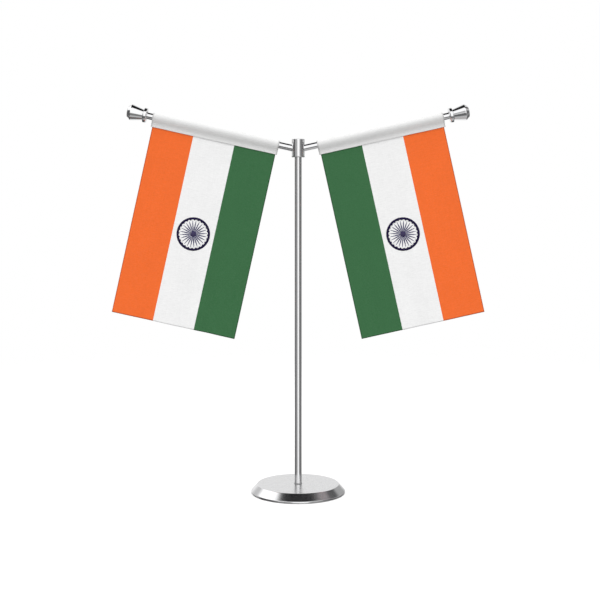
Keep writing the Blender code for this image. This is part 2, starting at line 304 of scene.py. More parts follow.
def metal(name, colour, roughness, stretch, grain_depth, rough_spread=0.05, anisotropic=0.0):
    """Metal with a fine directional grain, faint handling marks, and edges rubbed brighter."""
    made, tree, shader, where = new_material(name)
    grain = tree.noise(where, stretch, detail=4.0, roughness=0.6)
    marks = tree.noise(where, (90.0, 90.0, 90.0), detail=5.0, roughness=0.65)
    worn = tree.node("ShaderNodeAttribute", attribute_name="wear").outputs["Fac"]
    tone = tree.math("MULTIPLY", tree.spread(grain, 0.97, 1.0), tree.spread(marks, 0.975, 1.0, 0.3, 0.7))
    tone = tree.math("ADD", tone, tree.math("MULTIPLY", worn, 0.04))
    tree.put(shader.inputs["Base Color"], tree.scaled(colour, tone))
    rubbed = tree.spread(marks, -0.4 * rough_spread, 0.6 * rough_spread, 0.3, 0.7)
    fine = tree.spread(grain, -0.5 * rough_spread, 0.5 * rough_spread, 0.25, 0.75)
    rough = tree.math("ADD", tree.math("ADD", fine, rubbed), roughness)
    rough = tree.math("ADD", rough, tree.math("MULTIPLY", worn, 0.03))
    tree.put(shader.inputs["Roughness"], rough)
    tree.put(shader.inputs["Normal"], tree.bump(grain, grain_depth))
    shader.inputs["Metallic"].default_value = 1.0
    shader.inputs["Anisotropic"].default_value = anisotropic
    return made


def dull(name, colour, roughness, scale, depth, variation=0.25, metallic=0.0):
    """A rough, mottled surface: foam, cast iron, nylon, black oxide."""
    made, tree, shader, where = new_material(name)
    grains = tree.noise(where, (scale,) * 3, detail=6.0, roughness=0.7)
    clouds = tree.noise(where, (scale / 12,) * 3, detail=2.0)
    tone = tree.math(
        "MULTIPLY",
        tree.spread(grains, 1 - variation, 1 + variation, 0.3, 0.7),
        tree.spread(clouds, 0.9, 1.1, 0.3, 0.7),
    )
    tree.put(shader.inputs["Base Color"], tree.scaled(colour, tone))
    tree.put(shader.inputs["Roughness"], tree.spread(grains, roughness - 0.1, roughness + 0.1, 0.3, 0.7))
    tree.put(shader.inputs["Normal"], tree.bump(grains, depth))
    shader.inputs["Metallic"].default_value = metallic
    return made


def cloth(name, colour, pitch=WEAVE_PITCH, edge_tone=0.5, sheen=0.05, fuzz_and_glint=0.013):
    """Plain-woven polyester: crossing threads, slubs, pale specks that are partly loose fibres and
    partly painted sheen glints, soft tone changes and a darker edge.
    """
    made, tree, shader, where = new_material(name)
    split = tree.node("ShaderNodeSeparateXYZ", {0: where})
    turns = 2 * math.pi / pitch
    warp = tree.math("SINE", tree.math("MULTIPLY", split.outputs["X"], turns))
    weft = tree.math("SINE", tree.math("MULTIPLY", split.outputs["Z"], turns))
    weave = tree.math("MULTIPLY", warp, weft)
    slubs = tree.math(
        "ADD",
        tree.noise(where, (2400.0, 2400.0, 120.0), detail=2.0),
        tree.noise(where, (120.0, 2400.0, 2400.0), detail=2.0),
    )
    clouds = tree.noise(where, (38.0, 38.0, 38.0), detail=3.0)
    streaks = tree.noise(where, (260.0, 260.0, 1500.0), detail=4.0, roughness=0.7)
    threads = tree.spread(weave, 0.955, 1.0, -1.0, 1.0)
    tone = tree.math("MULTIPLY", threads, tree.spread(slubs, 0.95, 1.03, 0.6, 1.4))
    tone = tree.math("MULTIPLY", tone, tree.spread(streaks, 0.93, 1.07, 0.2, 0.8))
    tone = tree.math("MULTIPLY", tone, tree.spread(clouds, 0.985, 1.012, 0.3, 0.7))
    edge = tree.node("ShaderNodeAttribute", attribute_name="edge").outputs["Fac"]
    tone = tree.math("MULTIPLY", tone, tree.spread(edge, 1.0, edge_tone))
    # Specks added alike to every channel, lighter and darker: partly loose fibres, partly painted sheen
    # glints on the weave.
    fuzz_and_glint_noise = tree.noise(where, (1300.0, 1300.0, 1300.0), detail=3.0, roughness=0.7)
    pale = tree.spread(fuzz_and_glint_noise, -fuzz_and_glint, fuzz_and_glint, 0.25, 0.75)
    shade = tree.node("ShaderNodeVectorMath", {0: tree.scaled(colour, tone), 1: pale}, operation="ADD")
    tree.put(shader.inputs["Base Color"], shade.outputs[0])
    tree.put(shader.inputs["Roughness"], tree.spread(weave, 0.78, 0.9, -1.0, 1.0))
    height = tree.math("ADD", weave, tree.math("MULTIPLY", slubs, 1.2))
    tree.put(shader.inputs["Normal"], tree.bump(height, 0.02 * MM))
    shader.inputs["Specular IOR Level"].default_value = 0.12
    shader.inputs["Sheen Weight"].default_value = sheen
    shader.inputs["Sheen Roughness"].default_value = 0.4
    return made


CHROME = (0.93, 0.93, 0.94, 1.0)
SATIN = (0.85, 0.85, 0.855, 1.0)

POLISHED = metal("polished_chrome", CHROME, 0.07, (1500.0, 1500.0, 90.0), 0.0006 * MM, 0.04)
BRUSHED = metal("brushed_pole", CHROME, 0.13, (5200.0, 5200.0, 45.0), 0.0015 * MM, 0.06)
HUB_METAL = metal("brushed_hub", CHROME, 0.16, (5200.0, 5200.0, 60.0), 0.0015 * MM, 0.06)
BASE_TOP = metal("satin_top", SATIN, 0.25, (4200.0, 4200.0, 4200.0), 0.004 * MM, 0.08)
BASE_RIM = metal("polished_rim", CHROME, 0.15, (160.0, 160.0, 5000.0), 0.0005 * MM, 0.03)
ZINC = metal("zinc_thread", (0.74, 0.74, 0.70, 1.0), 0.28, (900.0, 900.0, 900.0), 0.004 * MM, 0.1)
BLACK_OXIDE = dull("black_oxide", (0.030, 0.030, 0.033, 1.0), 0.42, 2600.0, 0.004 * MM, metallic=0.6)
CAST_IRON = dull("cast_iron", (0.060, 0.060, 0.064, 1.0), 0.72, 1400.0, 0.03 * MM, metallic=0.8)
FOAM = dull("foam", (0.022, 0.022, 0.023, 1.0), 0.88, 3000.0, 0.06 * MM)
# Dark grey for the pole's foot ring: painted contact shadow at the pole's foot.
FOOT_SHADOW_NYLON = dull("nylon", (0.24, 0.24, 0.245, 1.0), 0.5, 1800.0, 0.003 * MM)
STRIPES = [
    cloth("cloth_orange", (*ORANGE, 1.0), edge_tone=0.42),
    cloth("cloth_white", (*WHITE, 1.0), edge_tone=0.8),
    cloth("cloth_green", (*GREEN, 1.0), edge_tone=0.45),
]
SLEEVE_CLOTH = cloth("sleeve_cloth", (*SLEEVE_WHITE, 1.0), pitch=0.5 * MM, edge_tone=0.75)
PRINTS = [
    cloth("printed_navy", (*NAVY, 1.0), edge_tone=1.0, fuzz_and_glint=0.0),
    cloth("printed_violet", (*CORE_PURPLE, 1.0), edge_tone=1.0, fuzz_and_glint=0.0),
    cloth("printed_blue", (*SPOKE_BLUE, 1.0), edge_tone=1.0, fuzz_and_glint=0.0),
]
THREAD = cloth("sewing_thread", (*THREAD_WHITE, 1.0), pitch=0.2 * MM, edge_tone=1.0)


# ---------------------------------------------------------------------------------------------
# Turned pieces
# ---------------------------------------------------------------------------------------------

def rounded(corners, steps=5, support=0.3 * MM):
    """A turned profile as (point, wear) pairs from corners (radius, height, fillet).

    Each fillet is worn, with an unworn point close by on both sides, which also keeps the flats
    beside it flat when they are shaded smoothly.
    """
    profile = []
    for i, (r, z, fillet) in enumerate(corners):
        here = Vector((r, z))
        if not fillet:
            profile.append((here, 0.0))
            continue
        to_before = Vector(corners[i - 1][:2]) - here
        to_after = Vector(corners[(i + 1) % len(corners)][:2]) - here
        before, after = to_before.normalized(), to_after.normalized()
        half = before.angle(after) / 2
        cut = fillet / math.tan(half)
        centre = here + (before + after).normalized() * fillet / math.sin(half)
        start = (here + before * cut - centre).normalized()
        end = (here + after * cut - centre).normalized()
        if to_before.length > 2 * (cut + support):
            profile.append((here + before * (cut + support), 0.0))
        for k in range(steps + 1):
            profile.append((centre + start.slerp(end, k / steps) * fillet, 1.0))
        if to_after.length > 2 * (cut + support):
            profile.append((here + after * (cut + support), 0.0))
    return profile


def new_piece(name, bm, materials, matrix=None, sharp=35.0):
    """Links a bmesh as a smooth-shaded object with the given materials."""
    bmesh.ops.remove_doubles(bm, verts=bm.verts, dist=0.0005 * MM)
    bmesh.ops.recalc_face_normals(bm, faces=bm.faces)
    mesh = bpy.data.meshes.new(name)
    bm.to_mesh(mesh)
    bm.free()
    mesh.shade_smooth()
    mesh.set_sharp_from_angle(angle=math.radians(sharp))
    for material in materials:
        mesh.materials.append(material)
    made = bpy.data.objects.new(name, mesh)
    bpy.context.scene.collection.objects.link(made)
    if matrix:
        made.matrix_world = matrix
    return made


def turned(name, corners, materials, matrix=None, sides=128, steps=5):
    """A solid turned about local +Z. A profile that starts off the axis is closed into a ring."""
    profile = rounded(corners, steps)
    bm = bmesh.new()
    layer = bm.verts.layers.float.new("wear")
    rings = []
    for point, wear in profile:
        count = sides if point.x > 1e-9 else 1
        ring = []
        for k in range(count):
            angle = 2 * math.pi * k / sides
            vert = bm.verts.new((point.x * math.cos(angle), point.x * math.sin(angle), point.y))
            vert[layer] = wear
            ring.append(vert)
        rings.append(ring)
    pairs = list(zip(rings, rings[1:]))
    if corners[0][0] > 0:
        pairs.append((rings[-1], rings[0]))
    for low, high in pairs:
        bridge(bm, low, high, sides)
    return new_piece(name, bm, materials, matrix)


def bridge(bm, low, high, sides):
    """Faces between two rings, either of which may be a single point."""
    for k in range(sides):
        m = (k + 1) % sides
        corners = [low[k % len(low)], low[m % len(low)], high[m % len(high)], high[k % len(high)]]
        different = list(dict.fromkeys(corners))
        if len(different) > 2:
            bm.faces.new(different)


def dress(piece, body, *nodes, slot=None):
    """Puts a piece on its body in place of CAD nodes."""
    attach(piece, body)
    if nodes:
        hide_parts(*nodes)
    return piece


def make_base():
    """The spun cover, satin on top and polished on its slope and rim."""
    low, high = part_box("base_cover")
    radius, bottom, top = high.x, low.z, high.z
    inner = radius - COVER_WALL
    ceiling = top - COVER_WALL
    rise, run = top - COVER_RIM_HEIGHT, radius - COVER_TOP_RADIUS
    wall_along = COVER_WALL * math.hypot(rise, run)
    inner_corner = COVER_RIM_HEIGHT + (COVER_WALL * rise - wall_along) / run
    inner_top = radius - ((ceiling - COVER_RIM_HEIGHT) * run + wall_along) / rise
    cover = turned(
        "base_shell",
        [
            (BOLT_HOLE_RADIUS, top, 0.0),
            (0.25 * COVER_TOP_RADIUS, top, 0.0),
            (0.6 * COVER_TOP_RADIUS, top, 0.0),
            (COVER_TOP_RADIUS, top, COVER_FILLET),
            (radius, COVER_RIM_HEIGHT, COVER_FILLET),
            (radius, bottom, COVER_RIM_EDGE),
            (inner, bottom, COVER_RIM_EDGE),
            (inner, inner_corner, 0.0),
            (inner_top, ceiling, 0.0),
            (BOLT_HOLE_RADIUS, ceiling, 0.0),
        ],
        [BASE_TOP, BASE_RIM],
        sides=192,
    )
    for face in cover.data.polygons:
        face.material_index = 0 if face.center.z > top - COVER_TOP_BAND else 1
    dress(cover, "stand", "base_cover", slot="satin_steel")


def make_pole():
    """The bar, standing on a thin washer that it presses flat. The washer's dark grey, standing out
    round the foot, is painted contact shadow.
    """
    _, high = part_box("pole")
    washer_low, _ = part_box("foot_washer")
    seat = washer_low.z + FOOT_RING_LIFT
    underside = washer_low.z - FOOT_RING_SINK
    outside = high.x + FOOT_RING_STAND
    # The ring's dark grey stands in for the contact shadow at the pole's foot: painted shadow.
    washer = turned(
        "pole_foot_shadow_ring",
        [
            (BOLT_HOLE_RADIUS, seat, 0.0),
            (outside, seat, FOOT_RING_EDGE),
            (outside, underside, FOOT_RING_EDGE),
            (BOLT_HOLE_RADIUS, underside, 0.0),
        ],
        [FOOT_SHADOW_NYLON],
    )
    dress(washer, "stand", "foot_washer", slot="nylon")
    pole = turned(
        "pole_bar",
        [
            (0.0, seat + POLE_SEAT_GAP, 0.0),
            (high.x, seat + POLE_SEAT_GAP, POLE_FOOT_EDGE),
            (high.x, high.z, POLE_TOP_EDGE),
            (0.0, high.z, 0.0),
        ],
        [BRUSHED],
    )
    dress(pole, "stand", "pole", slot="satin_steel")


def make_hub():
    """The hub, with a close-fitting socket for each arm."""
    low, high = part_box("hub")
    _, pole_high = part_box("pole")
    bore = pole_high.x + HUB_BORE_CLEARANCE
    bore_end = pole_high.z + HUB_BORE_HEADROOM
    lip_top = low.z + HUB_LIP_HEIGHT
    skin = high.x - HUB_LIP_STAND
    body = [
        (bore, low.z, 0.0),
        (high.x, low.z, HUB_LIP_LOWER_EDGE),
        (high.x, lip_top, HUB_LIP_UPPER_EDGE),
        (skin, lip_top, 0.0),
    ]
    for k in range(1, HUB_LEVELS):
        body.append((skin, lip_top + (high.z - lip_top) * k / HUB_LEVELS, 0.0))
    body += [(skin, high.z, HUB_TOP_EDGE), (0.0, high.z, 0.0)]
    body += [(0.0, bore_end, 0.0), (bore, bore_end, 0.0)]
    hub = turned("hub_barrel", body, [HUB_METAL], steps=4)
    for side in SIDES:
        start, _, radius = span(side + "_arm", side)
        wide = radius + SOCKET_CLEARANCE
        outside = 3 * high.x
        corners = [(0.0, start, 0.0), (wide, start, 0.0), (wide, outside, 0.0), (0.0, outside, 0.0)]
        drill(hub, turned("drill", corners, [HUB_METAL], arm_frame(side), sides=96))
    hub.data.set_sharp_from_angle(angle=math.radians(35))
    dress(hub, "crosshead", "hub", slot="satin_steel")


def drill(piece, cutter):
    """Cuts a hole, and removes the cutter."""
    hole = piece.modifiers.new("hole", "BOOLEAN")
    hole.operation = "DIFFERENCE"
    hole.solver = "EXACT"
    hole.object = cutter
    bake_modifiers(piece)
    bpy.data.objects.remove(cutter, do_unlink=True)


def bake_modifiers(piece):
    """Replaces a piece's mesh by what its modifiers make of it."""
    bpy.context.view_layer.update()
    seen = piece.evaluated_get(bpy.context.evaluated_depsgraph_get())
    piece.data = bpy.data.meshes.new_from_object(seen)
    piece.modifiers.clear()


def make_arm(side):
    """Arm, flanged collar, conical knob and threaded stud."""
    place = arm_frame(side)
    start, end, radius = span(side + "_arm", side)
    bar = turned(
        side + "_bar",
        [
            (0.0, start, 0.0),
            (radius, start, 0.2 * MM),
            (radius, end, 0.2 * MM),
            (STUD_BORE, end, 0.0),
            (STUD_BORE, end - STUD_BORE_DEPTH, 0.0),
            (0.0, end - STUD_BORE_DEPTH, 0.0),
        ],
        [POLISHED],
        place,
        sides=96,
    )
    dress(bar, "crosshead", side + "_arm", slot="polished_steel")

    near, far, flange = span(side + "_finial_collar", side)
    seat = radius + COLLAR_SEAT_CLEARANCE
    collar = turned(
        side + "_collar_ring",
        [
            (STUD_BORE, far, 0.0),
            (STUD_BORE, end + FINIAL_GAP, 0.0),
            (seat, end + FINIAL_GAP, 0.0),
            (seat, near, 0.0),
            (COLLAR_BOSS_RADIUS, near, 0.12 * MM),
            (COLLAR_BOSS_RADIUS, near + COLLAR_FLANGE, 0.15 * MM),
            (flange, near + COLLAR_FLANGE, 0.6 * MM),
            (flange, far, 0.3 * MM),
        ],
        [POLISHED],
        place,
    )
    dress(collar, side + "_collar", side + "_finial_collar", slot="polished_steel")

    begin, tip, widest = span(side + "_finial_knob", side)
    low, high, stud_radius = span(side + "_finial_stud", side)
    corners = [
        (0.0, high + FINIAL_GAP, 0.0),
        (STUD_BORE, high + FINIAL_GAP, 0.0),
        (STUD_BORE, begin, 0.0),
        (KNOB_NECK_RADIUS, begin, 0.3 * MM),
        (widest, begin + KNOB_RIM_START, 0.2 * MM),
        (widest, begin + KNOB_RIM_END, 0.25 * MM),
        (KNOB_FACE_RADIUS, begin + KNOB_FACE_START, 0.4 * MM),
    ]
    dome = 12
    dome_start = begin + KNOB_FACE_START
    for k in range(2, dome + 1):
        angle = math.pi / 2 * k / dome
        across = KNOB_FACE_RADIUS * math.cos(angle) if k < dome else 0.0
        corners.append((across, dome_start + (tip - dome_start) * math.sin(angle), 0.0))
    knob = turned(side + "_knob_tip", corners, [POLISHED], place)
    dress(knob, side + "_knob", side + "_finial_knob", slot="polished_steel")

    stud = threaded(side + "_stud_screw", low, high, stud_radius, place)
    dress(stud, side + "_collar", side + "_finial_stud", slot="zinc_steel")


def threaded(name, start, end, radius, place, columns=36, rows_per_turn=6):
    """A screw thread as one closed surface, running out to plain points at both ends."""
    rows = round((end - start) / THREAD_PITCH * rows_per_turn)
    bm = bmesh.new()
    rings = [[bm.verts.new((0.0, 0.0, start))]]
    for j in range(rows + 1):
        height = start + (end - start) * j / rows
        run_out = min(1.0, (height - start) / THREAD_PITCH, (end - height) / THREAD_PITCH)
        ring = []
        for i in range(columns):
            turn = i / columns
            phase = (height / THREAD_PITCH - turn) % 1.0
            groove = THREAD_DEPTH * abs(2 * phase - 1)
            across = radius - groove * run_out - THREAD_END_DROP * (1 - run_out)
            angle = 2 * math.pi * turn
            ring.append(bm.verts.new((across * math.cos(angle), across * math.sin(angle), height)))
        rings.append(ring)
    rings.append([bm.verts.new((0.0, 0.0, end))])
    for low, high in zip(rings, rings[1:]):
        bridge(bm, low, high, columns)
    return new_piece(name, bm, [ZINC], place, sharp=40.0)


def make_set_screw():
    """The cup-ended set screw in the hub's back, with a hexagon socket."""
    low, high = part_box("hub_set_screw")
    radius = (high.x - low.x) / 2
    sides = 48

    def hexagon(angle):
        return SCREW_SOCKET / math.cos(angle % (math.pi / 3) - math.pi / 6)

    loops = [
        (lambda a: 0.0, low.y),
        (lambda a: radius, low.y),
        (lambda a: radius, high.y - SCREW_CHAMFER),
        (lambda a: radius - SCREW_CHAMFER, high.y),
        (lambda a: hexagon(a) + 0.04 * MM, high.y),
        (hexagon, high.y - 0.06 * MM),
        (hexagon, high.y - SCREW_SOCKET_DEPTH),
        (lambda a: 0.0, high.y - SCREW_SOCKET_DEPTH - 0.15 * MM),
    ]
    bm = bmesh.new()
    rings = []
    for reach, y in loops:
        count = sides if reach(0.1) > 0 else 1
        ring = []
        for k in range(count):
            angle = 2 * math.pi * k / sides
            across = reach(angle)
            ring.append(bm.verts.new((across * math.cos(angle), y, across * math.sin(angle))))
        rings.append(ring)
    for near, far in zip(rings, rings[1:]):
        bridge(bm, near, far, sides)
    middle = Vector(((low.x + high.x) / 2, 0.0, (low.z + high.z) / 2))
    screw = new_piece("hub_grub_screw", bm, [BLACK_OXIDE], Matrix.Translation(middle))
    dress(screw, "crosshead", "hub_set_screw", slot="black_steel")


# ---------------------------------------------------------------------------------------------
# Cloth
# ---------------------------------------------------------------------------------------------

class Hanging:
    """A flag's cloth as a grid of points in the flag's frame: rows run down, columns along the arm."""

    def __init__(self, points):
        self.points = points

    def at(self, across, down):
        """The point at the given shares of the cloth's width and length, smoothly between the grid's."""
        rows, columns = len(self.points) - 1, len(self.points[0]) - 1
        x, y = across * columns, down * rows
        i, j = min(int(x), columns - 1), min(int(y), rows - 1)
        lines = []
        for m in range(j - 1, j + 3):
            row = self.points[max(0, min(rows, m))]
            lines.append(blend_four([row[max(0, min(columns, n))] for n in range(i - 1, i + 3)], x - i))
        return blend_four(lines, y - j)

    def normal(self, across, down, reach=0.01):
        """Which way the cloth's front faces."""
        right = self.at(min(1.0, across + reach), down) - self.at(max(0.0, across - reach), down)
        lower = self.at(across, min(1.0, down + reach)) - self.at(across, max(0.0, down - reach))
        return lower.cross(right).normalized()


def hang_cloth(side, left_edge, right_edge, top, bottom, phase):
    """Simulates the flag hanging from its top rows, starting from a few very shallow waves."""
    bm = bmesh.new()
    grid = []
    for j in range(CLOTH_ROWS + 1):
        down = j / CLOTH_ROWS
        row = []
        for i in range(CLOTH_COLUMNS + 1):
            across = i / CLOTH_COLUMNS
            wave = math.sin(2 * math.pi * (0.85 * across + 0.25 * down) + phase)
            wave += 0.45 * math.sin(2 * math.pi * (1.7 * across - 0.4 * down) + 2.1 * phase)
            depth = WAVE_HEIGHT * wave * down ** 0.8
            x = left_edge + (right_edge - left_edge) * across
            row.append(bm.verts.new((x, depth, top + (bottom - top) * down)))
        grid.append(row)
    for upper, lower in zip(grid, grid[1:]):
        for i in range(CLOTH_COLUMNS):
            bm.faces.new((upper[i], lower[i], lower[i + 1], upper[i + 1]))
    mesh = bpy.data.meshes.new("settling_" + side)
    bm.to_mesh(mesh)
    bm.free()
    sheet = bpy.data.objects.new("settling_" + side, mesh)
    bpy.context.scene.collection.objects.link(sheet)
    held = sheet.vertex_groups.new(name="held")
    held.add(list(range(2 * (CLOTH_COLUMNS + 1))), 1.0, "REPLACE")
    sim = sheet.modifiers.new("cloth", "CLOTH")
    sim.settings.quality = 8
    sim.settings.mass = 0.05
    sim.settings.tension_stiffness = 40
    sim.settings.compression_stiffness = 40
    sim.settings.shear_stiffness = 20
    sim.settings.bending_stiffness = 0.6
    sim.settings.air_damping = 2.0
    sim.settings.vertex_group_mass = "held"
    sim.collision_settings.use_self_collision = False
    for number in range(1, SETTLE_FRAMES + 1):
        bpy.context.scene.frame_set(number)
    bake_modifiers(sheet)
    bpy.context.scene.frame_set(1)
    flat = [v.co.copy() for v in sheet.data.vertices]
    bpy.data.objects.remove(sheet, do_unlink=True)
    width = CLOTH_COLUMNS + 1
    return Hanging([flat[j * width:(j + 1) * width] for j in range(CLOTH_ROWS + 1)])


def make_cloth(side, hanging, outer_first):
    """The flag itself: three stripes, woven finely enough for a smooth fall."""
    columns, rows = CLOTH_COLUMNS * CLOTH_FINER, CLOTH_ROWS * CLOTH_FINER
    bm = bmesh.new()
    edge = bm.verts.layers.float.new("edge")
    grid = []
    for j in range(rows + 1):
        row = []
        for i in range(columns + 1):
            vert = bm.verts.new(hanging.at(i / columns, j / rows))
            vert[edge] = 1.0 if i in (0, columns) or j == rows else 0.0
            row.append(vert)
        grid.append(row)
    for j in range(rows):
        for i in range(columns):
            face = bm.faces.new((grid[j][i], grid[j + 1][i], grid[j + 1][i + 1], grid[j][i + 1]))
            stripe = 3 * i // columns
            face.material_index = stripe if outer_first else 2 - stripe
    flag = new_piece(side + "_flag", bm, STRIPES, flag_frame(side), sharp=180.0)
    thicken(flag, CLOTH_THICKNESS)
    return flag


def thicken(piece, thickness):
    """Gives a sheet its thickness, half to each side."""
    solid = piece.modifiers.new("thickness", "SOLIDIFY")
    solid.thickness = thickness
    solid.offset = 0.0
    solid.use_even_offset = True


def make_sleeve(side, start, end):
    """A strip folded over the arm, its two edges meeting in the hem, with faint puckers at the seam."""
    half = [Vector((p.x - SLEEVE_THICKNESS / 2, p.y)) for p in smooth_curve(SLEEVE_OUTLINE, 4)]
    half[-1] = Vector((0.0, SLEEVE_OUTLINE[-1].y + SLEEVE_THICKNESS / 2))
    front = [Vector((-p.x, p.y)) for p in half]
    section = front + list(reversed(half[:-1]))
    bm = bmesh.new()
    edge = bm.verts.layers.float.new("edge")
    rings = []
    for i in range(SLEEVE_COLUMNS + 1):
        x = start + (end - start) * i / SLEEVE_COLUMNS
        ring = []
        for k, p in enumerate(section):
            near_seam = max(0.0, min(1.0, (p.y - PUCKER_START) / PUCKER_START))
            pucker = noise.noise(Vector((x * 420, p.x * 200, side == "left")))
            pucker = pucker * PUCKER_DEPTH_MM * MM * near_seam
            sag = noise.noise(Vector((x * 60, 7.0, side == "left"))) * SAG_DEPTH_MM * MM
            vert = bm.verts.new((x, p.x + math.copysign(pucker, p.x), -p.y - sag * near_seam))
            vert[edge] = 1.0 if i in (0, SLEEVE_COLUMNS) or k in (0, len(section) - 1) else 0.0
            ring.append(vert)
        rings.append(ring)
    for near, far in zip(rings, rings[1:]):
        for k in range(len(section) - 1):
            bm.faces.new((near[k], near[k + 1], far[k + 1], far[k]))
    sleeve = new_piece(side + "_sleeve", bm, [SLEEVE_CLOTH], flag_frame(side), sharp=180.0)
    thicken(sleeve, SLEEVE_THICKNESS)
    return sleeve, sum((b - a).length for a, b in zip(section, section[1:]))


def make_stitches(side, start, end):
    """A row of lockstitches along the hem, on the front and on the back."""
    outline = smooth_curve(SLEEVE_OUTLINE, 4)
    depth = min(outline, key=lambda p: abs(p.y - SEAM_DROP)).x
    count = int((end - start) / STITCH_PITCH)
    bm = bmesh.new()
    for k in range(count):
        middle = start + (end - start) * (k + 0.5) / count
        for face in (-1.0, 1.0):
            add_stitch(bm, middle, face * depth, -SEAM_DROP)
    return new_piece(side + "_seam_thread", bm, [THREAD], flag_frame(side), sharp=180.0)


def add_stitch(bm, middle, depth, height, rings=6, sides=8):
    """One stitch: a short thread that dives into the cloth at both ends."""
    loops = [[bm.verts.new((middle - STITCH_LENGTH / 2, depth * 0.8, height))]]
    for r in range(1, rings):
        share = r / rings
        x = middle + STITCH_LENGTH * (share - 0.5)
        swell = math.sin(math.pi * share) ** 0.5
        loop = []
        for k in range(sides):
            angle = 2 * math.pi * k / sides
            y = depth * (0.82 + 0.18 * swell) + STITCH_RADIUS * math.cos(angle) * swell
            loop.append(bm.verts.new((x, y, height + STITCH_RADIUS * math.sin(angle) * swell)))
        loops.append(loop)
    loops.append([bm.verts.new((middle + STITCH_LENGTH / 2, depth * 0.8, height))])
    for near, far in zip(loops, loops[1:]):
        bridge(bm, near, far, sides)


def wheel_shapes():
    """The wheel's parts as (print, strip of quads), in polar points (radius as a share, angle)."""
    step = 2 * math.pi / WHEEL_SPOKES
    ring_steps = 12
    bead, bead_width = 0.05, 0.22
    strips = []
    ring = []
    for k in range(WHEEL_SPOKES * ring_steps + 1):
        angle = step * k / ring_steps
        from_bead = abs((k / ring_steps) % 1.0 - 0.5)
        rise = bead * math.sqrt(max(0.0, 1 - (from_bead / bead_width) ** 2))
        ring.append(((WHEEL_RING_INNER - rise, angle), (1.0, angle)))
    strips.append((0, ring))
    core = [((0.0, step * k / 2), (WHEEL_CORE, step * k / 2)) for k in range(2 * WHEEL_SPOKES + 1)]
    strips.append((1, core))
    for n in range(WHEEL_SPOKES):
        spoke = []
        for radius, spoke_width in SPOKE_OUTLINE:
            lean = spoke_width / 2 / radius
            spoke.append(((radius, n * step - lean), (radius, n * step + lean)))
        strips.append((2, spoke))
    return strips


def make_wheel(side, hanging, left_edge, right_edge, top, bottom, middle):
    """The printed wheel, following the cloth on its front and its back."""
    width, length = right_edge - left_edge, top - bottom
    bm = bmesh.new()
    for face in (1.0, -1.0):
        for ink, strip in wheel_shapes():
            last = None
            for pair in strip:
                now = []
                for radius, angle in pair:
                    x = middle.x + WHEEL_RADIUS * radius * math.sin(angle)
                    z = middle.y + WHEEL_RADIUS * radius * math.cos(angle)
                    across, down = (x - left_edge) / width, (top - z) / length
                    lift = hanging.normal(across, down) * (CLOTH_THICKNESS / 2 + WHEEL_LIFT)
                    now.append(bm.verts.new(hanging.at(across, down) + lift * face))
                if last:
                    different = list(dict.fromkeys((last[0], last[1], now[1], now[0])))
                    quad = bm.faces.new(different if face > 0 else reversed(different))
                    quad.material_index = ink
                last = now
    wheel = new_piece(side + "_flag_wheel", bm, PRINTS, flag_frame(side), sharp=180.0)
    solid = wheel.modifiers.new("thickness", "SOLIDIFY")
    solid.thickness = PRINT_THICKNESS
    solid.offset = -1.0
    return wheel


def make_flag(side, phase):
    """Sleeve, cloth, wheel and stitches of one flag."""
    sign = -1.0 if side == "left" else 1.0
    start, end, _ = span(side + "_flag_cloth", side)
    sleeve_start, sleeve_end, _ = span(side + "_flag_sleeve", side)
    down = flag_frame(side).inverted()
    drops = [-(down @ v.co).z for v in frame["nodes"][side + "_flag_cloth"].data.vertices]
    left_edge, right_edge = sorted((sign * start, sign * end))
    top, bottom = -FLAG_TUCK, -max(drops)
    hanging = hang_cloth(side, left_edge, right_edge, top, bottom, phase)
    flag = make_cloth(side, hanging, outer_first=side == "left")
    sleeve, strip = make_sleeve(side, *sorted((sign * sleeve_start, sign * sleeve_end)))
    stitches = make_stitches(side, *sorted((sign * sleeve_start, sign * sleeve_end)))
    middle = Vector(((left_edge + right_edge) / 2, (bottom - min(drops)) / 2 - WHEEL_DROP))
    wheel = make_wheel(side, hanging, left_edge, right_edge, top, bottom, middle)
    body = side + "_flag"
    dress(flag, body, side + "_flag_cloth", slot="flag_cloth")
    dress(sleeve, body, side + "_flag_sleeve", slot="white_cloth")
    dress(stitches, body)
    dress(wheel, body)


# ---------------------------------------------------------------------------------------------
# Stage
# ---------------------------------------------------------------------------------------------

